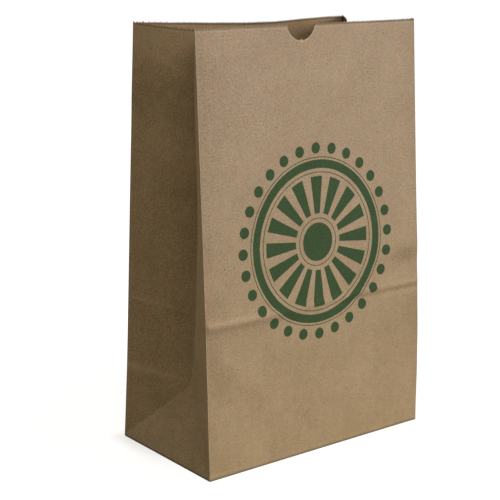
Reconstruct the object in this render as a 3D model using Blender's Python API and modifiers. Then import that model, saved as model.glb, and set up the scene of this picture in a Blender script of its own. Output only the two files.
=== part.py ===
"""Brown paper lunch bag, open and standing: one sheet of kraft paper, folded and glued.

Metres, +Z up. The bag stands on z = 0, with the origin under the middle of its base and the
printed front panel facing -Y. The tube is drawn flat, as it is cut, and then folded: on the
flat sheet s runs once round the bag from the back left corner, and h runs up from the base.
"""

import math

import bmesh
import bpy
from mathutils import Vector
from mathutils.geometry import delaunay_2d_cdt, intersect_point_line

# The sheet
PANEL_WIDTH = 0.180
GUSSET_WIDTH = 0.099
BAG_HEIGHT = 0.279
PAPER = 0.00015

# How far the top corners lean in from upright, and the lean where the folded base was pressed
FRONT_LEAN_LEFT = 0.0114
FRONT_LEAN_RIGHT = 0.0131
FRONT_PRESSED_LEAN = 0.0027
BACK_LEAN_LEFT = 0.0195
BACK_LEAN_RIGHT = 0.0162
BACK_PRESSED_LEAN = 0.0048

# Soft shape of the open bag
BACK_BOW = 0.014
GUSSET_FOLD_LOW = 0.0202
GUSSET_FOLD_MOUTH = 0.0295
GUSSET_BOW = 0.0020
FOLD_CURVE = 0.6
BOW_CURVE = 1.6
BOW_ROUNDING = 0.22

# Pinked mouth and thumb notch
TOOTH_PITCH = 0.0020
TOOTH_DEPTH = 0.0008
NOTCH_WIDTH = 0.0230
NOTCH_DEPTH = 0.0095
NOTCH_FROM_LEFT = 0.0803
NIB_WIDTH = 0.0013
NIB_HEIGHT = 0.0011

# Glued laps: the seam down the back, and the two flaps that close the base
SEAM_WIDTH = 0.012
SEAM_FROM_LEFT = 0.0865
BASE_LAP = 0.012
LAP_EDGE = 0.0002
LAP_END = 0.0015
MOST_PLIES = 3

# Print on the front: a disc, a wheel of wedges, a band and a ring of beads
PRINT_HEIGHT = 0.1405
DISC_RADIUS = 0.0125
WEDGE_COUNT = 16
WEDGE_INNER = 0.0185
WEDGE_OUTER = 0.0425
WEDGE_SHARE = 0.58
BAND_INNER = 0.0475
BAND_WIDTH = 0.0055
BEAD_COUNT = 28
BEAD_CIRCLE = 0.0605
BEAD_RADIUS = 0.0036

# Fineness of the mesh
STEP = 0.018
LEAST_GAP = 0.4
NOTCH_POINTS = 16
ROUND_POINTS = 48
BEAD_POINTS = 8

HALF_WIDTH = PANEL_WIDTH / 2
HALF_GUSSET = GUSSET_WIDTH / 2
FRONT_START = GUSSET_WIDTH
RIGHT_START = FRONT_START + PANEL_WIDTH
BACK_START = RIGHT_START + GUSSET_WIDTH
SHEET_WIDTH = BACK_START + PANEL_WIDTH
SEAM_MIDDLE = SHEET_WIDTH - SEAM_FROM_LEFT
VALLEY = BAG_HEIGHT - TOOTH_DEPTH
BASE_LEVEL = MOST_PLIES * PAPER


def clear_scene():
    for obj in list(bpy.data.objects):
        bpy.data.objects.remove(obj, do_unlink=True)
    for mesh in list(bpy.data.meshes):
        bpy.data.meshes.remove(mesh)


def paper_material(name, colour, roughness):
    material = bpy.data.materials.new(name)
    material.use_nodes = True
    shader = material.node_tree.nodes["Principled BSDF"]
    shader.inputs["Base Color"].default_value = (*colour, 1.0)
    shader.inputs["Roughness"].default_value = roughness
    shader.inputs["Metallic"].default_value = 0.0
    material.diffuse_color = (*colour, 1.0)
    return material


# Fold lines


def upright(knots):
    """A line up the bag through (h, x, y) knots, as a function of h. The paper keeps its length."""
    places = [Vector((knots[0][1], knots[0][2], BASE_LEVEL))]
    for (h0, x0, y0), (h1, x1, y1) in zip(knots, knots[1:]):
        rise = math.sqrt((h1 - h0) ** 2 - (x1 - x0) ** 2 - (y1 - y0) ** 2)
        places.append(Vector((x1, y1, places[-1].z + rise)))

    def place(h):
        for i in range(len(knots) - 1):
            if h <= knots[i + 1][0] or i == len(knots) - 2:
                share = (h - knots[i][0]) / (knots[i + 1][0] - knots[i][0])
                return places[i].lerp(places[i + 1], share)

    return place


def above_fold(h):
    """0 at the fold halfway up the folded base, 1 at the mouth."""
    return max(0.0, (h - HALF_GUSSET) / (BAG_HEIGHT - HALF_GUSSET))


def heights_above_fold():
    count = math.ceil((BAG_HEIGHT - HALF_GUSSET) / STEP)
    return [HALF_GUSSET + (BAG_HEIGHT - HALF_GUSSET) * i / count for i in range(count + 1)]


def front_edge(side, lean):
    x = side * HALF_WIDTH
    return upright([
        (0.0, x, -HALF_GUSSET),
        (GUSSET_WIDTH, x, -HALF_GUSSET + FRONT_PRESSED_LEAN),
        (BAG_HEIGHT, x, -HALF_GUSSET + lean),
    ])


def back_edge(side, lean):
    """The bowed back panel draws its top corners in."""
    top_x = side * math.sqrt(HALF_WIDTH**2 - BACK_BOW**2)
    return upright([
        (0.0, side * HALF_WIDTH, HALF_GUSSET),
        (HALF_GUSSET, side * HALF_WIDTH, HALF_GUSSET - BACK_PRESSED_LEAN),
        (BAG_HEIGHT, top_x, HALF_GUSSET - lean),
    ])


def back_middle(left, right):
    """The line where the back panel bows in most."""
    knots = [(0.0, 0.0, HALF_GUSSET)]
    for h in heights_above_fold():
        middle = (left(h) + right(h)) / 2
        knots.append((h, middle.x, middle.y - BACK_BOW * above_fold(h) ** BOW_CURVE))
    return upright(knots)


def gusset_crease(side, front, back):
    """The centre crease of a gusset, pushed in between the front and back edges."""
    knots = [(0.0, side * HALF_WIDTH, 0.0)]
    for h in heights_above_fold():
        growth = (GUSSET_FOLD_MOUTH - GUSSET_FOLD_LOW) * above_fold(h) ** FOLD_CURVE
        x = side * (HALF_WIDTH - GUSSET_FOLD_LOW - growth)
        knots.append((h, x, (front(h).y + back(h).y) / 2))
    return upright(knots)


FRONT_LEFT = front_edge(-1, FRONT_LEAN_LEFT)
FRONT_RIGHT = front_edge(1, FRONT_LEAN_RIGHT)
BACK_LEFT = back_edge(-1, BACK_LEAN_LEFT)
BACK_RIGHT = back_edge(1, BACK_LEAN_RIGHT)
BACK_MIDDLE = back_middle(BACK_LEFT, BACK_RIGHT)
CREASE_LEFT = gusset_crease(-1, FRONT_LEFT, BACK_LEFT)
CREASE_RIGHT = gusset_crease(1, FRONT_RIGHT, BACK_RIGHT)


# Folding: from a point on the flat sheet to its place on the bag


def soft_peak(t):
    """0 at both edges and 1 in the middle, with a rounded top."""
    across = 2 * t - 1
    ends = math.hypot(1, BOW_ROUNDING)
    return (ends - math.hypot(across, BOW_ROUNDING)) / (ends - BOW_ROUNDING)


def back_place(t, h):
    left = BACK_LEFT(h)
    right = BACK_RIGHT(h)
    bow = BACK_MIDDLE(h) - (left + right) / 2
    return left.lerp(right, t) + bow * soft_peak(t)


def gusset_place(u, h, side):
    """u runs from the front edge to the back edge."""
    front, back, crease = (
        (FRONT_LEFT, BACK_LEFT, CREASE_LEFT) if side < 0 else (FRONT_RIGHT, BACK_RIGHT, CREASE_RIGHT)
    )
    edge = front if u < HALF_GUSSET else back
    from_edge = min(u, GUSSET_WIDTH - u)
    if h >= HALF_GUSSET:
        share = from_edge / HALF_GUSSET
        across = crease(h) - edge(h)
        outward = Vector((across.y, -across.x, 0.0)).normalized()
        if outward.x * side < 0:
            outward.negate()
        bow = GUSSET_BOW * math.sin(math.pi * share) * above_fold(h) ** FOLD_CURVE
        return edge(h) + across * share + outward * bow
    corner_fold = crease(HALF_GUSSET)
    if from_edge <= h:
        diagonal = edge(0.0).lerp(corner_fold, h / HALF_GUSSET)
        return edge(h).lerp(diagonal, from_edge / h if h > 0 else 0.0)
    start = front(0.0).lerp(corner_fold, h / HALF_GUSSET)
    end = back(0.0).lerp(corner_fold, h / HALF_GUSSET)
    return start.lerp(end, (u - h) / (GUSSET_WIDTH - 2 * h))


def wall_place(s, h):
    if s <= FRONT_START:
        return gusset_place(GUSSET_WIDTH - s, h, -1)
    if s <= RIGHT_START:
        return FRONT_LEFT(h).lerp(FRONT_RIGHT(h), (s - FRONT_START) / PANEL_WIDTH)
    if s <= BACK_START:
        return gusset_place(s - RIGHT_START, h, 1)
    return back_place(1 - (s - BACK_START) / PANEL_WIDTH, h)


def wall_plies(s, h):
    on_seam = abs(s - SEAM_MIDDLE) < SEAM_WIDTH / 2 and LAP_END / 2 < h < VALLEY - LAP_END / 2
    return 2 if on_seam else 1


def base_place(x, y):
    return Vector((x, y, BASE_LEVEL))


def on_flap(x, y, side):
    """Whether a point of the base lies on the flap from the front (side -1) or the back (side 1)."""
    from_fold = HALF_GUSSET - side * y
    reach = HALF_GUSSET + BASE_LAP / 2
    in_width = abs(x) < HALF_WIDTH - from_fold - LAP_EDGE / 2
    return LAP_EDGE / 2 < from_fold < reach - LAP_EDGE / 2 and in_width


def base_plies(x, y):
    return 1 + on_flap(x, y, -1) + on_flap(x, y, 1)


# Lines drawn on the flat sheet


def straight(*points):
    return [Vector(point) for point in points]


def run(start, end):
    """Points from start to end about one step apart, where the paper bends."""
    start, end = Vector(start), Vector(end)
    count = max(1, round((end - start).length / STEP))
    return [start.lerp(end, i / count) for i in range(count)] + [end]


def panel_fold(s):
    """A fold between panels, with a point at each pressed fold that crosses it."""
    return straight((s, 0.0), (s, HALF_GUSSET), (s, GUSSET_WIDTH), (s, VALLEY))


def pinked(start, width):
    """Points of the zigzag cut along one panel, from a valley at each fold line."""
    teeth = round(width / TOOTH_PITCH)
    heights = (VALLEY, BAG_HEIGHT)
    return [Vector((start + width * i / (2 * teeth), heights[i % 2])) for i in range(2 * teeth)]


def notch_outline():
    """The thumb notch from left to right, with the small nib that the punch leaves."""
    half = NOTCH_WIDTH / 2
    middle = FRONT_START + NOTCH_FROM_LEFT
    bottom = VALLEY - NOTCH_DEPTH
    radius = (half**2 + NOTCH_DEPTH**2) / (2 * NOTCH_DEPTH)
    centre = bottom + radius
    half_angle = math.asin(min(1.0, half / radius))
    if NOTCH_DEPTH > radius:
        half_angle = math.pi - half_angle
    nib_angle = math.asin(NIB_WIDTH / 2 / radius)
    left = [-half_angle + (half_angle - nib_angle) * i / NOTCH_POINTS for i in range(NOTCH_POINTS + 1)]
    arc = [Vector((middle + radius * math.sin(a), centre - radius * math.cos(a))) for a in left]
    nib = straight((middle - NIB_WIDTH / 4, bottom + NIB_HEIGHT),
                   (middle + NIB_WIDTH / 4, bottom + NIB_HEIGHT))
    mirrored = [Vector((2 * middle - p.x, p.y)) for p in reversed(arc)]
    return arc + nib + mirrored


def mouth_line():
    """The whole top edge, from right to left."""
    starts = (0.0, HALF_GUSSET, FRONT_START, RIGHT_START, RIGHT_START + HALF_GUSSET, BACK_START)
    widths = (HALF_GUSSET, HALF_GUSSET, PANEL_WIDTH, HALF_GUSSET, HALF_GUSSET, PANEL_WIDTH)
    points = [p for start, width in zip(starts, widths) for p in pinked(start, width)]
    notch = notch_outline()
    left = [p for p in points if p.x < notch[0].x - TOOTH_PITCH / 4]
    right = [p for p in points if p.x > notch[-1].x + TOOTH_PITCH / 4]
    return list(reversed(left + notch + right))


def base_outline():
    return straight((-HALF_WIDTH, -HALF_GUSSET), (HALF_WIDTH, -HALF_GUSSET),
                    (HALF_WIDTH, HALF_GUSSET), (-HALF_WIDTH, HALF_GUSSET))


def wall_outline():
    """Anticlockwise round the flat sheet, with a point at each corner of the base."""
    bottom = straight((0.0, 0.0), (FRONT_START, 0.0), (RIGHT_START, 0.0), (BACK_START, 0.0))
    return bottom + panel_fold(SHEET_WIDTH) + mouth_line() + panel_fold(0.0)[-2:0:-1]


def upright_lines():
    """The folds between panels, the gussets' centre creases and the edges of the seam's lap."""
    lines = [panel_fold(s) for s in (FRONT_START, RIGHT_START, BACK_START)]
    for start in (0.0, RIGHT_START):
        middle = start + HALF_GUSSET
        lines.append(run((middle, HALF_GUSSET), (middle, VALLEY)))
        lines.append(straight((start, 0.0), (middle, HALF_GUSSET), (start + GUSSET_WIDTH, 0.0)))
    for edge in (SEAM_MIDDLE - SEAM_WIDTH / 2, SEAM_MIDDLE + SEAM_WIDTH / 2):
        for s in (edge - LAP_EDGE / 2, edge + LAP_EDGE / 2):
            lines.append(straight((s, LAP_END), (s, HALF_GUSSET))[:-1]
                         + run((s, HALF_GUSSET), (s, VALLEY - LAP_END)))
    return lines


def level_lines():
    """The pressed folds across the panels."""
    low, high = HALF_GUSSET, GUSSET_WIDTH
    lines = [straight((FRONT_START, high), (RIGHT_START, high)),
             straight((BACK_START, low), (SHEET_WIDTH, low)),
             run((BACK_START, high), (SHEET_WIDTH, high))]
    for start in (0.0, RIGHT_START):
        middle, end = start + HALF_GUSSET, start + GUSSET_WIDTH
        lines.append(straight((start, low), (middle, low), (end, low)))
        lines.append(run((start, high), (middle, high)) + run((middle, high), (end, high))[1:])
    return lines


def flap_lines():
    """The outline of each base flap twice, a lap's edge apart, so that the extra ply has a step."""
    reach = HALF_GUSSET + BASE_LAP / 2
    lines = []
    for side in (-1, 1):
        for inset in (0.0, LAP_EDGE):
            far = reach - inset
            ends = [(-(HALF_WIDTH - near - inset), side * (HALF_GUSSET - near)) for near in (inset, far)]
            corners = ends + [(-x, y) for x, y in reversed(ends)]
            lines.append(straight(*corners, corners[0]))
    return lines


# Print


def round_loop(centre, radius, count):
    angles = [2 * math.pi * i / count for i in range(count)]
    return [centre + radius * Vector((math.cos(a), math.sin(a))) for a in angles]


def wedge_loop(centre, middle_angle):
    half = math.pi * WEDGE_SHARE / WEDGE_COUNT
    outer = [centre + WEDGE_OUTER * Vector((math.cos(a), math.sin(a)))
             for a in (middle_angle - half, middle_angle, middle_angle + half)]
    inner = [centre + WEDGE_INNER * Vector((math.cos(a), math.sin(a)))
             for a in (middle_angle + half, middle_angle - half)]
    return outer + inner


def print_loops():
    centre = Vector((FRONT_START + HALF_WIDTH, PRINT_HEIGHT))
    loops = [round_loop(centre, radius, ROUND_POINTS)
             for radius in (DISC_RADIUS, BAND_INNER, BAND_INNER + BAND_WIDTH)]
    loops += [wedge_loop(centre, 2 * math.pi * i / WEDGE_COUNT) for i in range(WEDGE_COUNT)]
    for bead in round_loop(centre, BEAD_CIRCLE, BEAD_COUNT):
        loops.append(round_loop(bead, BEAD_RADIUS, BEAD_POINTS))
    return loops


def inside(point, loop):
    crossings = 0
    for a, b in zip(loop, loop[1:] + loop[:1]):
        if (a.y > point.y) != (b.y > point.y):
            crossings += point.x < a.x + (point.y - a.y) * (b.x - a.x) / (b.y - a.y)
    return crossings % 2 == 1


def is_inked(point, loops):
    return sum(inside(point, loop) for loop in loops) % 2 == 1


# Meshes


def is_clear(point, lines):
    """Whether a point of the grid keeps its distance from every drawn line."""
    for line in lines:
        for start, end in zip(line, line[1:]):
            nearest, share = intersect_point_line(point, start, end)
            nearest = start.lerp(end, min(1.0, max(0.0, share)))
            if (nearest.to_2d() - point).length < LEAST_GAP * STEP:
                return False
    return True


def grid(start, width, lines):
    """Staggered points over the bent part of a panel, clear of the lines drawn on it."""
    columns = math.ceil(width / STEP)
    rows = math.ceil((BAG_HEIGHT - HALF_GUSSET) / STEP)
    points = []
    for row in range(rows):
        h = HALF_GUSSET + (row + 0.5) * (BAG_HEIGHT - HALF_GUSSET) / rows
        for column in range(columns):
            point = Vector((start + (column + (row % 2) / 2) * width / columns, h))
            if is_clear(point, lines):
                points.append(point)
    return points


def triangulate(outline, lines, points):
    """Triangles inside the outline, with an edge along every line: (points, faces)."""
    corners = list(outline)
    edges = [(i, (i + 1) % len(outline)) for i in range(len(outline))]
    for line in lines:
        first = len(corners)
        corners += line
        edges += [(first + i, first + i + 1) for i in range(len(line) - 1)]
    corners += points
    made = delaunay_2d_cdt(corners, edges, [list(range(len(outline)))], 1, 1e-7)
    return made[0], made[2]


def add_sheet(bm, plies_layer, flat, faces, place, plies, inked):
    """Folds a flat piece into place. The number of plies is kept as a share of the most there are."""
    vertices = []
    for point in flat:
        vertex = bm.verts.new(place(point.x, point.y))
        vertex[plies_layer][0] = plies(point.x, point.y) / MOST_PLIES
        vertices.append(vertex)
    for corners in faces:
        face = bm.faces.new([vertices[i] for i in corners])
        centre = sum((flat[i] for i in corners), Vector((0.0, 0.0))) / len(corners)
        face.material_index = int(inked(centre))


def bag_mesh():
    loops = print_loops()
    outline = wall_outline()
    lines = upright_lines() + level_lines() + [loop + loop[:1] for loop in loops]
    bent = ((0.0, GUSSET_WIDTH), (RIGHT_START, GUSSET_WIDTH), (BACK_START, PANEL_WIDTH))
    points = [p for start, width in bent for p in grid(start, width, lines + [outline])]
    wall_flat, wall_faces = triangulate(outline, lines, points)
    base_flat, base_faces = triangulate(base_outline(), flap_lines(), [])

    bm = bmesh.new()
    plies_layer = bm.verts.layers.deform.new()
    add_sheet(bm, plies_layer, wall_flat, wall_faces, wall_place, wall_plies,
              lambda centre: is_inked(centre, loops))
    add_sheet(bm, plies_layer, base_flat, base_faces, base_place, base_plies, lambda centre: False)
    bmesh.ops.remove_doubles(bm, verts=bm.verts, dist=1e-6)
    bmesh.ops.recalc_face_normals(bm, faces=bm.faces)
    front = min(bm.faces, key=lambda face: face.calc_center_median().y)
    if front.normal.y > 0:
        bmesh.ops.reverse_faces(bm, faces=bm.faces)
    mesh = bpy.data.meshes.new("paper_bag")
    bm.to_mesh(mesh)
    bm.free()
    return mesh


def paper_bag(collection):
    bag = bpy.data.objects.new("paper_bag", bag_mesh())
    collection.objects.link(bag)
    bag.vertex_groups.new(name="plies")
    bag.data.materials.append(paper_material("kraft_paper", (0.376, 0.278, 0.171), 0.9))
    bag.data.materials.append(paper_material("green_ink", (0.048, 0.105, 0.042), 0.8))

    thickness = bag.modifiers.new("Paper thickness", "SOLIDIFY")
    thickness.thickness = MOST_PLIES * PAPER
    thickness.offset = 1.0
    thickness.use_even_offset = True
    thickness.vertex_group = "plies"
    thickness.thickness_vertex_group = 0.0
    thickness.material_offset = 0
    thickness.material_offset_rim = -1
    return bag


def main():
    clear_scene()
    collection = bpy.data.collections.new("paper_lunch_bag")
    bpy.context.scene.collection.children.link(collection)
    paper_bag(collection)


main()
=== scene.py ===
import math

import bpy
import numpy as np
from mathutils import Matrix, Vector, noise


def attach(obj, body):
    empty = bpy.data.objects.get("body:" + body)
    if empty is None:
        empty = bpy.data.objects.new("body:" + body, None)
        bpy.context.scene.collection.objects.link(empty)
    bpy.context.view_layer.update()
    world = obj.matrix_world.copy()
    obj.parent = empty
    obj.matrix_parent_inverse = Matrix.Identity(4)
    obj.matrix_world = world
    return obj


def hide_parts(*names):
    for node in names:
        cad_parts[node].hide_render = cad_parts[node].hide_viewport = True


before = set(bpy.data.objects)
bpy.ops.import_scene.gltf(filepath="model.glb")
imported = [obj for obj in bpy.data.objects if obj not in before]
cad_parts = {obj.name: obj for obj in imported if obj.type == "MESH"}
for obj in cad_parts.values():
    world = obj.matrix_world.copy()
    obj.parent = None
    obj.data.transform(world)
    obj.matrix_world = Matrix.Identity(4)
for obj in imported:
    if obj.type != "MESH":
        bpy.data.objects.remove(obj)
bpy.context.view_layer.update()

# The sheet, in metres. On the flat sheet, along runs once round the bag from the back left corner
# and up runs from the base fold. Below the base fold, up is negative.
PANEL = 0.180
GUSSET = 0.099
TALL = 0.279
PAPER = 0.00015
HALF_PANEL = PANEL / 2
HALF_GUSSET = GUSSET / 2
FRONT_START = GUSSET
RIGHT_START = FRONT_START + PANEL
BACK_START = RIGHT_START + GUSSET
ROUND_BAG = BACK_START + PANEL
BASE_LEVEL = 3 * PAPER
PLEATS = (HALF_GUSSET, RIGHT_START + HALF_GUSSET)
FOLDS = (0, PLEATS[0], FRONT_START, RIGHT_START, PLEATS[1], BACK_START)

# Lean and soft shape of the open bag
FRONT_LEAN_LEFT, FRONT_LEAN_RIGHT, FRONT_PRESSED_LEAN = 0.0114, 0.0131, 0.0027
BACK_LEAN_LEFT, BACK_LEAN_RIGHT, BACK_PRESSED_LEAN = 0.0195, 0.0162, 0.0048
BACK_BOW, BOW_CURVE, BOW_ROUNDING = 0.014, 1.6, 0.22
HIGH_CORNER = 0.0013
# The mouth stands higher at its back left corner. Elsewhere: along, and a share of that height
MOUTH_LINE = (
    (0, 1), (GUSSET, 0), (RIGHT_START, 0), (BACK_START, -0.6), (0.398, -0.14),
    (0.415, -0.07), (0.449, -0.30), (0.475, -0.08), (0.509, 0.41), (ROUND_BAG, 1),
)
FOLD_IN_LOW, FOLD_IN_MOUTH, FOLD_CURVE, GUSSET_BOW = 0.0202, 0.0295, 0.6, 0.0020

# Pinked mouth, thumb notch and glued laps
PITCH, TOOTH = 0.0020, 0.0015
VALLEY = TALL - 0.0008
NOTCH_WIDTH, NOTCH_DEPTH, NOTCH_FROM_LEFT = 0.0230, 0.0095, 0.0803
NOTCH_MIDDLE = FRONT_START + NOTCH_FROM_LEFT
NIB_WIDTH, NIB_HEIGHT = 0.0013, 0.0011
SEAM_WIDTH, SEAM_FROM_LEFT, SEAM_RISE = 0.012, 0.0865, 0.00022
SEAM_MIDDLE = ROUND_BAG - SEAM_FROM_LEFT
SEAM_START, SEAM_END = SEAM_MIDDLE - SEAM_WIDTH / 2, SEAM_MIDDLE + SEAM_WIDTH / 2
BASE_LAP = 0.012
FLAP_REACH = HALF_GUSSET + BASE_LAP / 2
# The pleats end just short of their point under the base, where the flaps lie at these heights
PLEAT_END = HALF_GUSSET - 0.0002
BACK_FLAP, FRONT_FLAP, SIDE_FLAPS, INNER_FLOOR = 0.00005, 0.00025, 0.00042, 0.00078

# Print: a round ornament of the same parts as the fields of ink on the solid
PRINT_ALONG = FRONT_START + HALF_PANEL
PRINT_UP = 0.1405
DISC = 0.0125
WEDGES, WEDGE_IN, WEDGE_OUT, WEDGE_SHARE = 16, 0.0185, 0.0425, 0.58
BAND_IN, BAND_WIDTH = 0.0475, 0.0055
BEADS, BEAD_CIRCLE, BEAD = 28, 0.0605, 0.0036
THIN_RINGS, THIN = (0.0151, 0.0447, 0.0543), 0.00055
INK_EDGE = 0.00012

# Soft relief of the paper: height of its waves, of the line pressed round it and of the front's bulge
BROAD_WAVES, SMALL_WAVES = 0.0011, 0.00022
LEFT_RIDGE, RIGHT_RIDGE, PLAIN_RIDGE = 0.0013, 0.00085, 0.0003
BULGE, CURL, LOW_BULGE = 0.0012, 0.0004, 0.0006

# Ledges in the paper: along, up, slope, half width, rise, fall and depth
LEDGES = (
    (0.266, 0.121, 0.06, 0.024, 0.0026, 0.030, 0.0022),
    (0.262, 0.058, 0.25, 0.026, 0.0040, 0.026, 0.0018),
    (0.112, 0.068, -0.55, 0.022, 0.0034, 0.024, 0.0014),
    (0.124, 0.056, -0.45, 0.018, 0.0034, 0.018, 0.0010),
    (0.104, 0.112, 0.0, 0.014, 0.0040, 0.020, 0.0009),
    (0.013, 0.240, 0.95, 0.016, 0.0035, 0.024, 0.0012),
    (0.336, 0.150, -0.40, 0.018, 0.0040, 0.022, 0.0014),
    (0.470, 0.115, 0.12, 0.034, 0.0040, 0.026, 0.0018),
    (0.515, 0.190, -0.20, 0.026, 0.0040, 0.030, 0.0014),
)

# Painted light and shade on the paper, darker below zero: along, up, slope, half width, half height, amount
PAINTED_LIGHT_AND_SHADE = (
    (0.120, 0.1006, 0.00, 0.030, 0.0015, 0.20),
    (0.120, 0.0960, 0.00, 0.034, 0.0020, -0.17),
    (0.268, 0.1022, 0.00, 0.026, 0.0016, 0.12),
    (0.266, 0.0984, 0.00, 0.030, 0.0012, -0.13),
    (0.266, 0.0954, 0.00, 0.026, 0.0018, 0.10),
    (0.268, 0.1215, 0.06, 0.019, 0.0066, -0.38),
    (0.268, 0.0750, 0.10, 0.024, 0.0170, -0.20),
    (0.248, 0.0320, 0.00, 0.036, 0.0240, 0.08),
    (0.108, 0.2450, 0.00, 0.012, 0.0280, -0.07),
    (0.108, 0.0740, -0.55, 0.018, 0.0036, -0.07),
    (0.120, 0.0590, -0.50, 0.018, 0.0040, -0.07),
    (0.128, 0.0250, 0.00, 0.030, 0.0220, 0.08),
    (0.1188, 0.2620, 0.00, 0.0022, 0.0130, -0.12),
    (0.1280, 0.2680, 0.00, 0.0045, 0.0060, 0.10),
    (0.273, 0.0060, 1.20, 0.010, 0.0060, 0.10),
    (0.050, 0.0160, 0.00, 0.034, 0.0200, 0.12),
    (0.010, 0.0300, 0.00, 0.011, 0.0240, 0.27),
    (0.044, 0.2150, 0.00, 0.012, 0.0450, 0.20),
    (0.032, 0.2540, -0.45, 0.018, 0.0030, 0.22),
    (0.022, 0.2370, 0.90, 0.012, 0.0035, -0.24),
    (0.026, 0.2080, 0.10, 0.018, 0.0120, 0.16),
    (0.040, 0.1640, 1.30, 0.005, 0.0050, 0.22),
    (0.016, 0.1500, -0.30, 0.012, 0.0090, -0.12),
    (0.010, 0.1003, -0.03, 0.018, 0.0010, 0.24),
    (0.038, 0.0965, -0.03, 0.008, 0.0016, -0.18),
    (0.002, 0.0530, 0.00, 0.022, 0.0026, 0.50),
    (0.034, 0.0530, 0.00, 0.014, 0.0014, 0.22),
    (0.037, 0.0478, 0.60, 0.004, 0.0009, 0.40),
    (0.008, 0.2420, 0.90, 0.011, 0.0110, -0.22),
    (0.022, 0.2720, -0.05, 0.040, 0.0160, 0.42),
)


# Folding, from the flat sheet to the open bag


def fold_line(knots):
    """A line up the bag through (up, x, y) knots. The paper keeps its length."""
    z = [BASE_LEVEL]
    for (h0, x0, y0), (h1, x1, y1) in zip(knots, knots[1:]):
        z.append(z[-1] + math.sqrt((h1 - h0) ** 2 - (x1 - x0) ** 2 - (y1 - y0) ** 2))
    ups = [k[0] for k in knots]
    columns = [[k[1] for k in knots], [k[2] for k in knots], z]
    return lambda up: np.stack([np.interp(up, ups, c) for c in columns], -1)


def above_fold(up):
    """0 at the fold halfway up the folded base, 1 at the mouth."""
    return np.maximum(0.0, (up - HALF_GUSSET) / (TALL - HALF_GUSSET))


CLIMB = np.linspace(HALF_GUSSET, TALL, 14)


def front_edge(side, lean):
    x = side * HALF_PANEL
    return fold_line([(0, x, -HALF_GUSSET), (GUSSET, x, -HALF_GUSSET + FRONT_PRESSED_LEAN),
                      (TALL, x, -HALF_GUSSET + lean)])


def back_edge(side, lean):
    top = side * math.sqrt(HALF_PANEL**2 - BACK_BOW**2)
    return fold_line([(0, side * HALF_PANEL, HALF_GUSSET),
                      (HALF_GUSSET, side * HALF_PANEL, HALF_GUSSET - BACK_PRESSED_LEAN),
                      (TALL, top, HALF_GUSSET - lean)])


def back_middle(left, right):
    knots = [(0, 0, HALF_GUSSET)]
    for up in CLIMB:
        middle = (left(up) + right(up)) / 2
        knots.append((up, middle[0], middle[1] - BACK_BOW * above_fold(up) ** BOW_CURVE))
    return fold_line(knots)


def pleat_line(side, front, back):
    knots = [(0, side * HALF_PANEL, 0)]
    for up in CLIMB:
        inward = FOLD_IN_LOW + (FOLD_IN_MOUTH - FOLD_IN_LOW) * above_fold(up) ** FOLD_CURVE
        knots.append((up, side * (HALF_PANEL - inward), (front(up)[1] + back(up)[1]) / 2))
    return fold_line(knots)


FRONT_LEFT = front_edge(-1, FRONT_LEAN_LEFT)
FRONT_RIGHT = front_edge(1, FRONT_LEAN_RIGHT)
BACK_LEFT = back_edge(-1, BACK_LEAN_LEFT)
BACK_RIGHT = back_edge(1, BACK_LEAN_RIGHT)
BACK_MIDDLE = back_middle(BACK_LEFT, BACK_RIGHT)
PLEAT_LEFT = pleat_line(-1, FRONT_LEFT, BACK_LEFT)
PLEAT_RIGHT = pleat_line(1, FRONT_RIGHT, BACK_RIGHT)


def mix(a, b, share):
    return a + (b - a) * np.asarray(share)[..., None]


def step_up(low, high, value):
    """0 below low, 1 above high, smooth between."""
    t = np.clip((value - low) / (high - low), 0, 1)
    return t * t * (3 - 2 * t)


def on_front(along):
    return (along > FRONT_START) & (along < RIGHT_START)


def soft_peak(t):
    ends = math.hypot(1, BOW_ROUNDING)
    return (ends - np.hypot(2 * t - 1, BOW_ROUNDING)) / (ends - BOW_ROUNDING)


def gusset_place(u, up, side):
    """u runs from the front edge to the back edge."""
    lines = (FRONT_LEFT, BACK_LEFT, PLEAT_LEFT) if side < 0 else (FRONT_RIGHT, BACK_RIGHT, PLEAT_RIGHT)
    front, back, pleat = lines
    near_front = (u < HALF_GUSSET)[..., None]
    edge = np.where(near_front, front(up), back(up))
    corner = np.where(near_front, front(0.0), back(0.0))
    from_edge = np.minimum(u, GUSSET - u)
    share = from_edge / HALF_GUSSET
    across = pleat(up) - edge
    outward = np.stack([across[..., 1], -across[..., 0], np.zeros_like(u)], -1)
    outward /= np.linalg.norm(outward, axis=-1, keepdims=True) + 1e-12
    outward *= np.sign(outward[..., :1] * side + 1e-12)
    bow = GUSSET_BOW * np.sin(math.pi * share) * above_fold(up) ** FOLD_CURVE
    high = mix(edge, pleat(up), share) + outward * bow[..., None]
    low_up = np.clip(up, 1e-9, HALF_GUSSET)
    point = pleat(HALF_GUSSET)
    diagonal = mix(corner, point, low_up / HALF_GUSSET)
    beside = mix(edge, diagonal, np.minimum(1, from_edge / low_up))
    start = mix(front(0.0), point, low_up / HALF_GUSSET)
    end = mix(back(0.0), point, low_up / HALF_GUSSET)
    flat = mix(start, end, np.clip((u - low_up) / np.maximum(GUSSET - 2 * low_up, 1e-9), 0, 1))
    low = np.where((from_edge <= low_up)[..., None], beside, flat)
    return np.where((up >= HALF_GUSSET)[..., None], high, low)


def wall_place(along, up):
    t = (along - BACK_START) / PANEL
    left, right = BACK_LEFT(up), BACK_RIGHT(up)
    bow = (BACK_MIDDLE(up) - (left + right) / 2) * soft_peak(1 - t)[..., None]
    place = mix(left, right, 1 - t) + bow
    for start, side, flip in ((0, -1, True), (RIGHT_START, 1, False)):
        u = GUSSET - along if flip else along - start
        on = (along >= start) & (along <= start + GUSSET)
        place = np.where(on[..., None], gusset_place(np.clip(u, 0, GUSSET), up, side), place)
    front = mix(FRONT_LEFT(up), FRONT_RIGHT(up), (along - FRONT_START) / PANEL)
    return np.where(on_front(along)[..., None], front, place)


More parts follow.
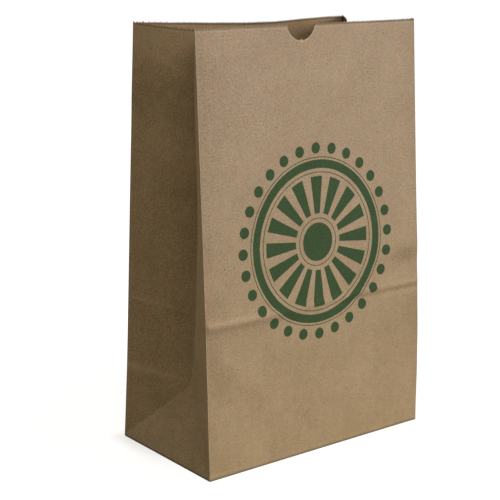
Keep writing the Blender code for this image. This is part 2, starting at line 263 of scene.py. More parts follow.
def base_place(along, depth):
    """Under the base the sides lie on the front flap, and that lies on the back flap."""
    place = np.zeros((*along.shape, 3))
    across_front = 2 * (along - FRONT_START) / PANEL - 1
    across_back = 1 - 2 * (along - BACK_START) / PANEL
    across_left = 2 * (GUSSET - along) / GUSSET - 1
    across_right = 2 * (along - RIGHT_START) / GUSSET - 1
    side_depth = np.minimum(depth, HALF_GUSSET)
    side_x, side_y = HALF_PANEL - side_depth, HALF_GUSSET - side_depth
    for on, x, y, z in (
        (along <= FRONT_START, -side_x, across_left * side_y, SIDE_FLAPS),
        (on_front(along), across_front * (HALF_PANEL - depth), depth - HALF_GUSSET, FRONT_FLAP),
        ((along >= RIGHT_START) & (along <= BACK_START), side_x, across_right * side_y, SIDE_FLAPS),
        (along > BACK_START, across_back * (HALF_PANEL - depth), HALF_GUSSET - depth, BACK_FLAP),
    ):
        here = np.stack([x, y, np.full_like(x, z)], -1)
        place = np.where(on[..., None], here, place)
    return place


def folded(along, up):
    along = np.mod(along, ROUND_BAG)
    wall, base = wall_place(along, np.maximum(up, 0)), base_place(along, np.maximum(-up, 0))
    return np.where((up >= 0)[..., None], wall, base)


def pressed(along, up):
    """The folded sheet with its creases rounded, sharply at the folds and softly up the walls."""
    round_along = 0.00045
    round_up = 0.00045 + 0.0026 * step_up(HALF_GUSSET - 0.004, HALF_GUSSET + 0.004, up)
    round_up = np.minimum(round_up, np.maximum(TALL - up, 0))
    total = 0
    spread = (-1, -0.5, 0, 0.5, 1)
    for a in spread:
        for b in spread:
            total = total + folded(along + a * round_along, up + b * round_up)
    return total / len(spread) ** 2


def with_mouth_line(places, along, up):
    """The mouth stands a little higher at the back left corner, and lower at the back right one."""
    high = np.interp(np.mod(along, ROUND_BAG), *zip(*MOUTH_LINE))
    places = places.copy()
    places[:, 2] += HIGH_CORNER * high * above_fold(up) + np.maximum(up - TALL, 0)
    return places


def facing(along, up):
    """Which way the paper faces, outwards."""
    near = 0.0004
    up = np.minimum(up, TALL - near)
    across = pressed(along + near, up) - pressed(along - near, up)
    rise = pressed(along, up + near) - pressed(along, up - near)
    out = np.cross(across, rise)
    return out / (np.linalg.norm(out, axis=-1, keepdims=True) + 1e-12)


# Lines of the flat sheet


def fold_to_fold(start, width, count):
    """Places along one panel: the valleys of its cut edge, and a few close to each fold."""
    inner = [start + width * i / count for i in range(1, count)]
    near = [0, 0.0004, 0.0010]
    return [start + n for n in near] + inner + [start + width - n for n in reversed(near[1:])]


def notch_radius():
    half = NOTCH_WIDTH / 2
    return (half**2 + NOTCH_DEPTH**2) / (2 * NOTCH_DEPTH)


def notch_columns():
    radius = notch_radius()
    widest = math.asin(NOTCH_WIDTH / 2 / radius)
    nib = math.asin(NIB_WIDTH / 2 / radius)
    angles = np.linspace(nib, widest, 17)
    right = [NOTCH_MIDDLE + radius * math.sin(a) for a in angles]
    left = [2 * NOTCH_MIDDLE - s for s in reversed(right)]
    return left + [NOTCH_MIDDLE - NIB_WIDTH / 4, NOTCH_MIDDLE + NIB_WIDTH / 4] + right


def cut_height(along):
    """Top of the sheet, without the teeth."""
    radius = notch_radius()
    bottom = VALLEY - NOTCH_DEPTH
    off = np.abs(along - NOTCH_MIDDLE)
    arc = bottom + radius - np.sqrt(np.maximum(radius**2 - off**2, 0))
    nib = np.where(off < NIB_WIDTH / 2 - 1e-6, NIB_HEIGHT, 0)
    return np.where(off < NOTCH_WIDTH / 2 + 1e-6, np.minimum(arc + nib, VALLEY), VALLEY)


def all_columns():
    apart = 0.0003
    back = fold_to_fold(BACK_START, PANEL, round(PANEL / PITCH))
    columns = [SEAM_START - ROUND_BAG] + [s - ROUND_BAG for s in back if s > SEAM_START + apart]
    half = round(HALF_GUSSET / PITCH)
    for start in (0, PLEATS[0]):
        columns += fold_to_fold(start, HALF_GUSSET, half)
    inside_notch = NOTCH_WIDTH / 2 + PITCH / 4
    front = fold_to_fold(FRONT_START, PANEL, round(PANEL / PITCH))
    columns += sorted([s for s in front if abs(s - NOTCH_MIDDLE) > inside_notch] + notch_columns())
    for start in (RIGHT_START, PLEATS[1]):
        columns += fold_to_fold(start, HALF_GUSSET, half)
    columns += [s for s in back if s < SEAM_END - apart] + [SEAM_END]
    return np.array(columns)


def all_rows():
    """Closer together at the base fold, the tops of the diagonals, the pressed line and the mouth."""
    under = (FLAP_REACH, 0.0520, PLEAT_END, 0.044, 0.036, 0.026, 0.016, 0.008, 0.0030, 0.0010, 0.0004)
    base = [-s for s in under]
    low = fold_to_fold(0.0, HALF_GUSSET, round(HALF_GUSSET / PITCH)) + [HALF_GUSSET]
    near = [HALF_GUSSET + s for s in (0.0006, 0.0015, 0.003, 0.0055)]
    rise = np.linspace(HALF_GUSSET + 0.0085, GUSSET - 0.0045, 13).tolist()
    press = [GUSSET + s for s in (-0.0028, -0.0014, 0, 0.0014, 0.0028, 0.0045)]
    high = np.linspace(GUSSET + 0.0075, VALLEY - 0.0035, 58).tolist()
    mouth = [VALLEY - 0.0015, VALLEY - 0.0006, VALLEY]
    return np.array(base + low + near + rise + press + high + mouth)


def tooth_height(along):
    """The zigzag of the cut edge, with a valley at each fold."""
    along = np.mod(along, ROUND_BAG)
    starts = np.array(FOLDS)
    widths = np.diff((*FOLDS, ROUND_BAG))
    which = np.clip(np.searchsorted(starts, along + 1e-7) - 1, 0, len(FOLDS) - 1)
    count = np.round(widths[which] / PITCH)
    tooth = (along - starts[which]) / widths[which] * count
    number = np.floor(tooth + 1e-6)
    # Every second tooth is lower, and some are worn or bent over
    chance = np.mod(np.sin(number * 12.99 + which * 7.3) * 437.6, 1)
    worn = 1 - 0.32 * (number % 2) - 0.24 * chance**2
    return VALLEY + TOOTH * worn * (1 - np.abs(2 * (tooth - number) - 1))


# Soft relief of the paper, in metres outwards


def bump(value, middle, width):
    return np.exp(-(((value - middle) / width) ** 2))


def dents(along, up):
    """Soft ledges pressed in by handling: a quick rise over its height, and a slow fall above."""
    out = 0
    for middle, level, slope, wide, rise, fall, deep in LEDGES:
        line = up - level - slope * (along - middle)
        ledge = 1 / (1 + np.exp(-np.clip(line / rise, -30, 30))) * np.exp(-np.maximum(line, 0) / fall)
        out = out + deep * ledge * bump(along, middle, wide)
    return out


def soft_waves(along, up):
    """Broad and small unevenness of the paper."""
    broad = [noise.fractal(Vector((a * 11 + 3.1, u * 9, 0.7)), 1.0, 2.0, 2) for a, u in zip(along, up)]
    small = [noise.fractal(Vector((a * 42, u * 26 + 5.2, 2.3)), 0.8, 2.0, 3) for a, u in zip(along, up)]
    return BROAD_WAVES * np.array(broad) + SMALL_WAVES * np.array(small)


def pressed_line(along, up, off_fold):
    """The old fold round the bag: on the front a ridge, which at the right has a groove under it."""
    across = (along - FRONT_START) / PANEL
    shift = up - GUSSET - 0.0006 * np.sin(across * 9)
    left_ridge = LEFT_RIDGE * bump(shift, -0.0006, 0.0030)
    right_ridge = RIGHT_RIDGE * (bump(shift, 0.0016, 0.0021) - bump(shift, -0.0017, 0.0021))
    turn = step_up(0.25, 0.75, across)
    front = (left_ridge * (1 - turn) + right_ridge * turn) * step_up(0, 0.0015, off_fold)
    plain = PLAIN_RIDGE * bump(shift, 0.0, 0.0024) * step_up(0, 0.003, off_fold)
    return np.where(on_front(along), front, plain)


def front_bulge(along, up):
    """The front bulges off its left fold, curls out to its right one, and is fuller low at the right."""
    from_left, from_right = np.maximum(along - FRONT_START, 0), np.maximum(RIGHT_START - along, 0)
    bulge = BULGE * (1 - np.exp(-from_left / 0.010)) - CURL * (1 - np.exp(-from_right / 0.005))
    bulge = bulge * step_up(0, 0.03, from_right + 0.01) * step_up(0.002, 0.040, up)
    low_right = LOW_BULGE * bump(up, 0.048, 0.034) * np.exp(-from_right / 0.030)
    return np.where(on_front(along), bulge + low_right, 0)


def relief(along, up):
    along = np.mod(along, ROUND_BAG)
    off_fold = np.abs(along[:, None] - np.array((*FOLDS, ROUND_BAG))).min(-1)
    free = (0.12 + 0.88 * step_up(0, 0.022, off_fold)) * step_up(0.001, 0.030, up)
    handled = dents(along, up) * (0.4 + 0.6 * step_up(0, 0.009, off_fold))
    return soft_waves(along, up) * free + pressed_line(along, up, off_fold) + front_bulge(along, up) + handled


# Making the mesh


def deselect():
    bpy.ops.object.select_all(action="DESELECT")


def only(piece):
    deselect()
    piece.select_set(True)
    bpy.context.view_layer.objects.active = piece


BY_POINT, BY_EDGE, BY_FACE = (True, False, False), (False, True, False), (False, False, True)


def unpick(piece):
    """Selects the piece alone, and nothing of its mesh."""
    only(piece)
    bpy.ops.object.mode_set(mode="EDIT")
    bpy.ops.mesh.select_all(action="DESELECT")
    bpy.ops.object.mode_set(mode="OBJECT")


def edit_picked(picked_by, edit, **settings):
    """Runs one edit mode operator on what is selected."""
    bpy.context.tool_settings.mesh_select_mode = picked_by
    bpy.ops.object.mode_set(mode="EDIT")
    edit(**settings)
    bpy.ops.object.mode_set(mode="OBJECT")
    bpy.context.tool_settings.mesh_select_mode = BY_POINT


def points_of(piece):
    points = np.empty(len(piece.data.vertices) * 3)
    piece.data.vertices.foreach_get("co", points)
    return points.reshape(-1, 3)


def set_points(piece, points):
    piece.data.vertices.foreach_set("co", points.reshape(-1))
    piece.data.update()


def write_uv(piece, flat):
    layer = piece.data.uv_layers.active or piece.data.uv_layers.new(name="sheet")
    layer.name = "sheet"
    corner = np.empty(len(piece.data.loops), int)
    piece.data.loops.foreach_get("vertex_index", corner)
    layer.data.foreach_set("uv", flat[corner].reshape(-1))


def flat_sheet(name, columns, rows):
    """A grid whose lines lie at the given places."""
    bpy.ops.mesh.primitive_grid_add(x_subdivisions=len(columns) - 1, y_subdivisions=len(rows) - 1, size=1)
    sheet = bpy.context.object
    sheet.name = sheet.data.name = name
    points = points_of(sheet)
    i = np.round((points[:, 0] + 0.5) * (len(columns) - 1)).astype(int)
    j = np.round((points[:, 1] + 0.5) * (len(rows) - 1)).astype(int)
    points[:, 0], points[:, 1], points[:, 2] = columns[i], rows[j], 0
    set_points(sheet, points)
    return sheet


def cut_notch(sheet):
    """The thumb notch draws the rows under it down."""
    points = points_of(sheet)
    drawn_from = VALLEY - 0.026
    share = np.clip((points[:, 1] - drawn_from) / (VALLEY - drawn_from), 0, 1)
    points[:, 1] -= (VALLEY - cut_height(points[:, 0])) * share
    set_points(sheet, points)


def tooth_top(low, high):
    """The highest place of the cut edge between two columns, or the middle where they are close."""
    tries = np.linspace(low, high, 41)[1:-1]
    if high - low > PITCH * 0.6:
        return tries[int(np.argmax(tooth_height(tries)))]
    return (low + high) / 2


def cut_teeth(sheet):
    """Each edge along the mouth is split in two, and its new point becomes the top of a tooth."""
    unpick(sheet)
    points = points_of(sheet)
    top = points[:, 1] > VALLEY - 1e-6
    for edge in sheet.data.edges:
        a, b = edge.vertices
        edge.select = bool(top[a] and top[b])
    before = len(points)
    edit_picked(BY_EDGE, bpy.ops.mesh.subdivide, number_cuts=1)
    points = points_of(sheet)
    points[:before][top, 1] = tooth_height(points[:before][top, 0])
    ends_of = {}
    for edge in sheet.data.edges:
        a, b = edge.vertices
        for new, old in ((a, b), (b, a)):
            if new >= before and old < before and top[old]:
                ends_of.setdefault(new, []).append(points[old, 0])
    for new, ends in ends_of.items():
        place = tooth_top(min(ends), max(ends))
        points[new, :2] = place, tooth_height(np.array([place]))[0]
    set_points(sheet, points)


def drop_faces(sheet, unwanted):
    """Deletes the faces whose middle the test picks."""
    unpick(sheet)
    for face in sheet.data.polygons:
        face.select = bool(unwanted(face.center.x, face.center.y))
    edit_picked(BY_FACE, bpy.ops.mesh.delete, type="FACE")


def under_base_only(along, up):
    """What isn't there below the base fold: the pleats past their point, and the seam's outer ply."""
    on_gusset = 0 < along < FRONT_START or RIGHT_START < along < BACK_START
    return (on_gusset and up < -PLEAT_END) or (up < 0 and along > SEAM_START)


def split_diagonals(sheet):
    """Edges along the diagonal folds at the foot of each pleat."""
    points = points_of(sheet)
    for start in (0, RIGHT_START):
        for end, way in ((start, 1), (start + GUSSET, -1)):
            u = way * (points[:, 0] - end)
            on = (np.abs(u - points[:, 1]) < 1e-5) & (u > -1e-6) & (u < HALF_GUSSET + 1e-6)
            unpick(sheet)
            for vertex, chosen in zip(sheet.data.vertices, on):
                vertex.select = bool(chosen)
            edit_picked(BY_POINT, bpy.ops.mesh.vert_connect)


def give_thickness(piece, skins):
    """Paper of two sides, the second of them inside."""
    for skin in skins:
        piece.data.materials.append(skin)
    wall = piece.modifiers.new("thickness", "SOLIDIFY")
    wall.material_offset = 1
    wall.thickness = PAPER
    wall.offset = -1
    wall.use_even_offset = True
    only(piece)
    bpy.ops.object.modifier_apply(modifier=wall.name)


def fold_sheet(skins):
    sheet = flat_sheet("kraft_bag", all_columns(), all_rows())
    cut_notch(sheet)
    cut_teeth(sheet)
    drop_faces(sheet, under_base_only)
    split_diagonals(sheet)
    flat = points_of(sheet)[:, :2]
    write_uv(sheet, flat)
    along, up = flat[:, 0], flat[:, 1]
    places = with_mouth_line(pressed(along, up), along, up)
    lap = SEAM_RISE * step_up(SEAM_START - 0.003, SEAM_START, along) * step_up(-0.0005, 0.002, up)
    out = relief(along, up) + lap
    set_points(sheet, places + facing(along, up) * out[:, None])
    give_thickness(sheet, skins)
    return sheet


def inner_floor(skins):
    """The folded-in gusset ends that make the floor inside, with the grain of plain paper off the sheet."""
    half_x, half_y = HALF_PANEL - 0.0004, HALF_GUSSET - 0.0004
    floor = flat_sheet("kraft_bag_floor", np.linspace(-half_x, half_x, 46), np.linspace(-half_y, half_y, 26))
    flat = points_of(floor)
    write_uv(floor, flat[:, :2] + (PRINT_ALONG, -0.2))
    flat[:, 2] = INNER_FLOOR
    set_points(floor, flat)
    give_thickness(floor, skins)
    return floor


# Shader maths


class Value:
    """A socket that adds, takes away and multiplies by adding Math nodes."""

    def __init__(self, tree, socket):
        self.tree, self.socket = tree, socket

    def node(self, kind, inputs=(), out=0, **settings):
        """A new node: its settings first, then the values or links of its sockets."""
        made = self.tree.nodes.new(kind)
        for name, setting in settings.items():
            setattr(made, name, setting)
        pairs = inputs.items() if isinstance(inputs, dict) else enumerate(inputs)
        for name, value in pairs:
            socket = made.inputs[name]
            if isinstance(value, Value):
                self.tree.links.new(value.socket, socket)
            else:
                socket.default_value = (*value, 1) if socket.type == "RGBA" else value
        return Value(self.tree, made.outputs[out])

    def maths(self, operation, *values):
        return self.node("ShaderNodeMath", values, operation=operation)

    def __add__(self, other):
        return self.maths("ADD", self, other)

    def __radd__(self, other):
        return self.maths("ADD", other, self)

    def __sub__(self, other):
        return self.maths("SUBTRACT", self, other)

    def __rsub__(self, other):
        return self.maths("SUBTRACT", other, self)

    def __mul__(self, other):
        return self.maths("MULTIPLY", self, other)

    def __rmul__(self, other):
        return self.maths("MULTIPLY", other, self)

    def abs(self):
        return self.maths("ABSOLUTE", self)

    def root(self):
        return self.maths("SQRT", self)

    def whole(self):
        return self.maths("ROUND", self)

    def least(self, other):
        return self.maths("MINIMUM", self, other)

    def most(self, other):
        return self.maths("MAXIMUM", self, other)

    def step(self, low, high):
        """0 below low, 1 above high. Falls instead where low is above high."""
        falls = float(low > high)
        sockets = {"Value": self, "From Min": min(low, high), "From Max": max(low, high),
                   "To Min": falls, "To Max": 1.0 - falls}
        return self.node("ShaderNodeMapRange", sockets, interpolation_type="SMOOTHSTEP")

    def parts(self):
        """The x, y and z of a vector."""
        split = self.node("ShaderNodeSeparateXYZ", [self]).socket.node
        return [Value(self.tree, part) for part in split.outputs]


def new_material(name):
    material = bpy.data.materials.new(name)
    material.use_nodes = True
    tree = material.node_tree
    return material, tree, tree.nodes["Principled BSDF"]


# Sockets of a Mix node that mixes colours
FACTOR, FIRST, SECOND, MIXED = 0, 6, 7, 2


def blend_colour(share, first, second):
    return share.node("ShaderNodeMix", {FACTOR: share, FIRST: first, SECOND: second}, out=MIXED,
                      data_type="RGBA")


def tinted(colour, tint):
    return colour.node("ShaderNodeMix", {FACTOR: 1.0, FIRST: colour, SECOND: tint}, out=MIXED,
                       data_type="RGBA", blend_type="MULTIPLY")


def scaled(uv, scale, shift=(0, 0, 0)):
    return uv.node("ShaderNodeMapping", {"Vector": uv, "Scale": scale, "Location": shift})


def grain(uv, scale, detail, rough, stretch=(1, 1, 1), shift=(0, 0, 0)):
    placed = scaled(uv, tuple(s * scale for s in stretch), shift)
    sockets = {"Vector": placed, "Scale": 1.0, "Detail": detail, "Roughness": rough}
    return uv.node("ShaderNodeTexNoise", sockets, noise_dimensions="2D")


def hump(value, width):
    """1 in the middle, and soft at both sides."""
    share = value * (1 / width)
    return value.maths("EXPONENT", share * share * -1.0)


def near_line(distance, width):
    """1 on the line, 0 beyond the width."""
    return distance.abs().step(width, 0.0)


# Tone of the paper and of the light and shade painted on it, where 0 is its darkest colour and 1 its palest


def plain_tone(cloud, patch, fine, dust, streak, up, front):
    """The front is finer towards the base, and the other sides are rougher and more mottled."""
    coarse = 1.28 - front * (0.54 - up.step(-0.02, 0.24) * 0.28)
    mottled = 1.7 - front * (0.7 - up.step(0.18, 0.02) * 0.3)
    tone = 0.5 + ((cloud - 0.5) * 0.34 + (patch - 0.5) * 0.30) * mottled
    return tone + ((fine - 0.5) * 1.36 + (dust - 0.5) * 1.0) * coarse + (streak - 0.5) * 0.10


def painted_light_and_shade_tone(along, up, front):
    """Painted light and shade in patches and along the pressed lines, and painted shade along the front's two
    folds.
    """
    tone = front * (hump(along - FRONT_START, 0.012) * -0.07 - hump(along - RIGHT_START, 0.009) * 0.12)
    for middle, level, slope, wide, high, amount in PAINTED_LIGHT_AND_SHADE:
        here = along - middle
        tone = tone + hump(here, wide) * hump(up - level - here * slope, high) * amount
    return tone


def cut_fibre_and_highlight_tone(along, up, front):
    """Pale fibres round the thumb notch, a pale spot on its nib, and a painted highlight along the mouth,
    where the cut edge curls out.
    """
    from_notch = along - NOTCH_MIDDLE
    from_centre = up - (VALLEY - NOTCH_DEPTH + notch_radius())
    rim = (from_notch * from_notch + from_centre * from_centre).root() - notch_radius()
    torn = near_line(rim - 0.0003, 0.0009) * front * up.step(0.25, 0.26) * from_notch.abs().step(0.016, 0.013)
    # The line just under the mouth is a painted highlight.
    torn = torn.most(near_line(up - (VALLEY - 0.0015), 0.0008) * 0.6)
    nib = hump(from_notch, 0.0011) * hump(up - (VALLEY - NOTCH_DEPTH), 0.0011)
    return torn * 0.42 + nib * 0.9


def base_fold_shade_and_highlight_tone(along, up, front):
    """Painted shade on the fold at the base. Just above it the front has a painted highlight along a crease,
    most of all at its left.
    """
    left = along.step(FRONT_START + 0.060, FRONT_START)
    return near_line(up - 0.0030, 0.0013) * front * (0.08 + left * 0.10) - near_line(up, 0.0009) * 0.25


def seam_edge_and_shadow_tone(along):
    """The seam's outer ply has a pale torn edge, with a painted shadow beside it on the inner ply."""
    beside = SEAM_END - ROUND_BAG + 0.0006
    tone = near_line(along - SEAM_END, 0.0010) * 0.35 - near_line(along - beside, 0.0011) * 0.55
    return tone - near_line(along - SEAM_START, 0.0016) * 0.14


# Colour of the paper, and the light and shade painted on it

DARK_KRAFT, PALE_KRAFT = (0.262, 0.184, 0.100), (0.490, 0.364, 0.228)
# The inside tint is painted shade, and the yellow and grey tints are painted warm and cool light.
WARM_TINT, INSIDE_SHADE_TINT = (1.05, 0.965, 0.93), (0.90, 0.86, 0.84)
WARM_LIGHT_TINT, COOL_LIGHT_TINT = (1.0, 0.985, 0.88), (0.97, 1.0, 1.12)
# The cut edge colour is painted shade.
CUT_EDGE_SHADE = (0.07, 0.050, 0.028)
SHADED_FOLD = (0.045, 0.032, 0.018)
BARK = (0.085, 0.062, 0.038)
WORN_FIBRE = (0.58, 0.46, 0.32)
DARK_INK, PALE_INK = (0.010, 0.036, 0.007), (0.031, 0.069, 0.021)


def paper_colour(uv, tone, up, front):
    """Kraft brown with warmer patches, tinted by painted light: cool light greys the front towards the mouth,
    and warm light yellows its base and the rest of the bag.
    """
    colour = blend_colour(tone, DARK_KRAFT, PALE_KRAFT)
    warm = grain(uv, 120, 2, 0.5, shift=(9.4, 3.3, 0)).step(0.35, 0.65)
    colour = blend_colour(warm * 0.5, colour, tinted(colour, WARM_TINT))
    return tinted(colour, blend_colour(up.step(-0.10, 0.28) * front, WARM_LIGHT_TINT, COOL_LIGHT_TINT))


def cut_edge_shade_share(along, up):
    """Painted shade on the cut edge, most of all in the valleys between the teeth, and less of it left of the
    notch.
    """
    valley = 0.0
    near = 0.0001
    for start, width in ((0.0, GUSSET), (FRONT_START, PANEL), (RIGHT_START, GUSSET), (BACK_START, PANEL),
                         (-PANEL, PANEL)):
        teeth = 2 * round(width / PITCH / 2)
        tooth = (along - start) * (teeth / width)
        on_panel = along.step(start - near, start) * along.step(start + width, start + width - near)
        valley = valley + (tooth - tooth.whole()).abs().step(0.36, 0.06) * on_panel
    left = along.step(NOTCH_MIDDLE + 0.012, NOTCH_MIDDLE) * along.step(-0.001, 0.001)
    return up.step(VALLEY - 0.0014, VALLEY - 0.0002) * (0.36 - left * 0.16 + valley * 0.45)


def shaded_fold_share(along, up, front):
    """Dark where the paper turns under the base, and along the fold at the back left corner."""
    return (near_line(up, 0.0022) * (1.0 - front * 0.45)).most(near_line(along, 0.0011) * 0.70)


def closed_pleat_shade_share(along):
    """Painted shade inside, darkest where the right pleat closes on the back."""
    inward = along.step(BACK_START - 0.052, BACK_START - 0.020)
    return inward * along.step(BACK_START + 0.006, BACK_START - 0.002) * 0.62


def bark_share(uv):
    """A few dark flecks of bark."""
    sockets = {"Vector": scaled(uv, (140, 140, 1)), "Scale": 1.0, "Randomness": 1.0}
    cells = uv.node("ShaderNodeTexVoronoi", sockets, voronoi_dimensions="2D").socket.node.outputs
    distance, shade = (Value(uv.tree, cells[name]) for name in ("Distance", "Color"))
    pick = shade.node("ShaderNodeSeparateColor", [shade])
    return distance.step(0.085, 0.05) * pick.step(0.965, 0.975) * 0.62


def worn_share(uv, along, up):
    """Fibres worn up along the folds, and most of all on the diagonals at the foot of each pleat."""
    folds = near_line(along - FRONT_START, 0.0008)
    for line in (RIGHT_START, BACK_START):
        folds = folds.most(near_line(along - line, 0.0008))
    for line in PLEATS:
        folds = folds.most(near_line(along - line, 0.0009) * up.step(HALF_GUSSET, HALF_GUSSET + 0.001))
    from_pleat = (along - PLEATS[0]).abs().least((along - PLEATS[1]).abs())
    diagonal = near_line((from_pleat + up - HALF_GUSSET) * math.sqrt(0.5), 0.0009)
    diagonal = diagonal * up.step(0.0, 0.001) * up.step(HALF_GUSSET + 0.001, HALF_GUSSET)
    wear = grain(uv, 420, 2, 0.5, shift=(2.2, 8.8, 0)).step(0.35, 0.62)
    return folds.most(diagonal * 1.8) * (0.10 + wear * 0.20)


def ink_share(uv, along, up):
    """The round print: a disc, wedges, a band, thin rings and a circle of beads, with uneven edges."""
    right, high = along - PRINT_ALONG, up - PRINT_UP
    wobble = (grain(uv, 700, 2, 0.5, shift=(5.5, 1.1, 0)) - 0.5) * 0.00035
    distance = (right * right + high * high).root() + wobble
    angle = high.maths("ARCTAN2", high, right)

    def ring(inner, outer):
        outside_inner = distance.step(inner - INK_EDGE, inner + INK_EDGE)
        return outside_inner * distance.step(outer + INK_EDGE, outer - INK_EDGE)

    def off_nearest(count):
        """Turn from the nearest of so many even places round the print, in radians."""
        turn = angle * (count / (2 * math.pi))
        return (turn - turn.whole()) * (2 * math.pi / count)

    ink = distance.step(DISC + INK_EDGE, DISC - INK_EDGE)
    wedge_edge = (off_nearest(WEDGES).abs() - WEDGE_SHARE * math.pi / WEDGES) * distance
    ink = ink.most(ring(WEDGE_IN, WEDGE_OUT) * wedge_edge.step(INK_EDGE, -INK_EDGE))
    ink = ink.most(ring(BAND_IN, BAND_IN + BAND_WIDTH))
    for thin in THIN_RINGS:
        ink = ink.most(ring(thin, thin + THIN))
    off = off_nearest(BEADS)
    bead_x = distance * off.maths("COSINE", off) - BEAD_CIRCLE
    bead_y = distance * off.maths("SINE", off)
    bead = (bead_x * bead_x + bead_y * bead_y).root()
    return ink.most(bead.step(BEAD + INK_EDGE, BEAD - INK_EDGE))


def kraft_material(name, outside):
    """Kraft paper: printed outside, and plain inside, where painted shade makes it darker."""
    material, tree, shader = new_material(name)
    uv = Value(tree, tree.nodes.new("ShaderNodeUVMap").outputs[0])
    uv.socket.node.uv_map = "sheet"
    along, up, _ = uv.parts()
    front = along.step(FRONT_START - 0.0002, FRONT_START + 0.0004)
    front = front * along.step(RIGHT_START + 0.0002, RIGHT_START - 0.0004)

    cloud = grain(uv, 38, 3, 0.55)
    patch = grain(uv, 190, 3, 0.6, shift=(4.1, 2.2, 0))
    fine = grain(uv, 820, 2, 0.6)
    dust = grain(uv, 1900, 2, 0.6, shift=(6.6, 0.9, 0))
    streak = grain(uv, 260, 3, 0.6, stretch=(1, 0.12, 1), shift=(1.7, 6.3, 0))
    tone = plain_tone(cloud, patch, fine, dust, streak, up, front) + painted_light_and_shade_tone(along, up, front)
    tone = tone + cut_fibre_and_highlight_tone(along, up, front) + base_fold_shade_and_highlight_tone(along, up, front) + seam_edge_and_shadow_tone(along)
    if not outside:
        # Inside: a touch paler, with painted shade just under the mouth.
        tone = tone + 0.03 - up.step(VALLEY - 0.0030, VALLEY) * 0.20

    colour = paper_colour(uv, tone, up, front)
    colour = blend_colour(cut_edge_shade_share(along, up), colour, CUT_EDGE_SHADE)
    colour = blend_colour(shaded_fold_share(along, up, front), colour, SHADED_FOLD)
    if not outside:
        # Painted shade over the whole inside, darkest where the right pleat closes on the back.
        colour = blend_colour(closed_pleat_shade_share(along), tinted(colour, INSIDE_SHADE_TINT), SHADED_FOLD)
    colour = blend_colour(bark_share(uv), colour, BARK)
    colour = blend_colour(worn_share(uv, along, up), colour, WORN_FIBRE)
    rough = 0.86 + (fine - 0.5) * 0.12
    if outside:
        ink = ink_share(uv, along, up)
        cover = 0.99 - 0.20 * grain(uv, 1100, 3, 0.7, shift=(7.7, 4.4, 0)).step(0.56, 0.72)
        colour = blend_colour(ink * cover, colour, blend_colour(tone, DARK_INK, PALE_INK))
        rough = rough - ink * 0.06

    height = fine * 0.7 + dust * 0.3 + streak * 0.3 + patch * 0.5
    raised = uv.node("ShaderNodeBump", {"Height": height, "Strength": 0.5, "Distance": 0.00014})
    for socket, value in (("Base Color", colour), ("Roughness", rough), ("Normal", raised)):
        tree.links.new(value.socket, shader.inputs[socket])
    shader.inputs["Specular IOR Level"].default_value = 0.25
    return material


# Studio

MIDDLE_OF_BAG = (0, 0, 0.14)
# Name, place, size and power of each lamp
LAMPS = (
    ("key", (2.30, -3.00, 0.42), 1.7, 128),
    ("top", (0.00, -1.35, 2.30), 1.8, 27),
    ("high", (-0.65, -0.25, 2.40), 1.2, 10),
    ("back", (1.60, 3.20, 0.90), 1.6, 70),
)
WARM_FILL, FILL_STRENGTH = (1.0, 0.90, 0.72), 0.09
FLOOR_COLOUR, FLOOR_GLOW = (0.38, 0.335, 0.25), 2.05
CAMERA_PLACE, CAMERA_DOWN, CAMERA_TURN, CAMERA_LENS = (-0.5234, -0.6509, 0.3245), 13.31, -37.725, 91.90


def seen_by_eye(tree):
    """1 where the eye sees the surface, itself or mirrored, and 0 for the light it gives the bag."""
    rays = tree.nodes.new("ShaderNodeLightPath").outputs
    seen = Value(tree, rays["Is Camera Ray"])
    for name in ("Is Glossy Ray", "Is Transmission Ray"):
        seen = seen.most(Value(tree, rays[name]))
    return seen


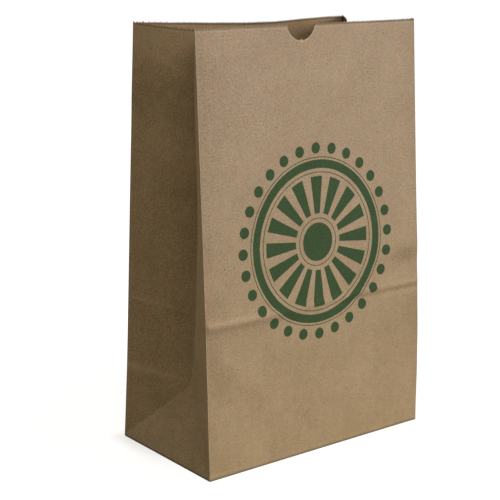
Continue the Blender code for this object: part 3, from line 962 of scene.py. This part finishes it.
def studio_floor():
    """White to the eye, and plainer away from the bag, with a soft shadow only at its back left corner,
    mostly painted into its glow.
    """
    bpy.ops.mesh.primitive_circle_add(vertices=96, radius=9, fill_type="NGON", location=(0, 0, 0))
    floor = bpy.context.object
    floor.name = "studio_floor"
    material, tree, shader = new_material("white_floor")
    shader.inputs["Base Color"].default_value = (*FLOOR_COLOUR, 1)
    shader.inputs["Roughness"].default_value = 1.0
    shader.inputs["Specular IOR Level"].default_value = 0.0
    seen = seen_by_eye(tree)
    place = Value(tree, tree.nodes.new("ShaderNodeTexCoord").outputs["Object"])
    far = place.node("ShaderNodeVectorMath", [place], out=1, operation="LENGTH").step(0.16, 0.40)
    x, y, _ = place.parts()
    # Painted shadow: the glow dims beside the back left corner of the bag.
    shadow = hump(x + HALF_PANEL, 0.008) * y.step(-0.030, 0.035) * y.step(0.064, 0.047)
    glow_colour = blend_colour(far * 0.463 + shadow * 0.205, (1, 1, 1), (0, 0, 0))
    glow = seen.node("ShaderNodeEmission", {"Color": glow_colour, "Strength": FLOOR_GLOW})
    plain = Value(tree, shader.outputs[0])
    mixed = seen.node("ShaderNodeMixShader", {"Fac": seen * (0.45 + far * 0.55), 1: plain, 2: glow})
    tree.links.new(mixed.socket, tree.nodes["Material Output"].inputs["Surface"])
    floor.data.materials.append(material)


def studio_world():
    """White to the eye, and a weak warm fill on the object."""
    world = bpy.data.worlds.new("studio")
    bpy.context.scene.world = world
    world.use_nodes = True
    tree = world.node_tree
    fill = tree.nodes["Background"]
    fill.inputs["Color"].default_value = (*WARM_FILL, 1)
    fill.inputs["Strength"].default_value = FILL_STRENGTH
    seen = seen_by_eye(tree)
    white = seen.node("ShaderNodeBackground", {"Color": (1, 1, 1), "Strength": 1.0})
    mixed = seen.node("ShaderNodeMixShader", {"Fac": seen, 1: Value(tree, fill.outputs[0]), 2: white})
    tree.links.new(mixed.socket, tree.nodes["World Output"].inputs["Surface"])


def soft_box(name, place, size, power):
    light = bpy.data.lights.new(name, "AREA")
    light.shape = "SQUARE"
    light.size = size
    light.energy = power
    lamp = bpy.data.objects.new(name, light)
    bpy.context.scene.collection.objects.link(lamp)
    lamp.location = place
    lamp.rotation_euler = (Vector(MIDDLE_OF_BAG) - Vector(place)).to_track_quat("-Z", "Y").to_euler()


def photo_camera():
    data = bpy.data.cameras.new("photo_camera")
    data.sensor_width = 36
    data.lens = CAMERA_LENS
    data.clip_start, data.clip_end = 0.01, 100
    camera = bpy.data.objects.new("photo_camera", data)
    bpy.context.scene.collection.objects.link(camera)
    camera.location = CAMERA_PLACE
    camera.rotation_euler = (math.radians(90 - CAMERA_DOWN), 0, math.radians(CAMERA_TURN))
    bpy.context.scene.camera = camera


skins = kraft_material("kraft_paper", True), kraft_material("kraft_inside", False)
deselect()
bag = fold_sheet(skins)
floor_inside = inner_floor(skins)
only(bag)
floor_inside.select_set(True)
bpy.ops.object.join()
only(bag)
bpy.ops.object.shade_smooth_by_angle(angle=math.radians(50))
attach(bag, "root")
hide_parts("paper_bag")

studio_floor()
studio_world()
for lamp in LAMPS:
    soft_box(*lamp)
photo_camera()
bpy.context.scene.view_settings.view_transform = "Standard"
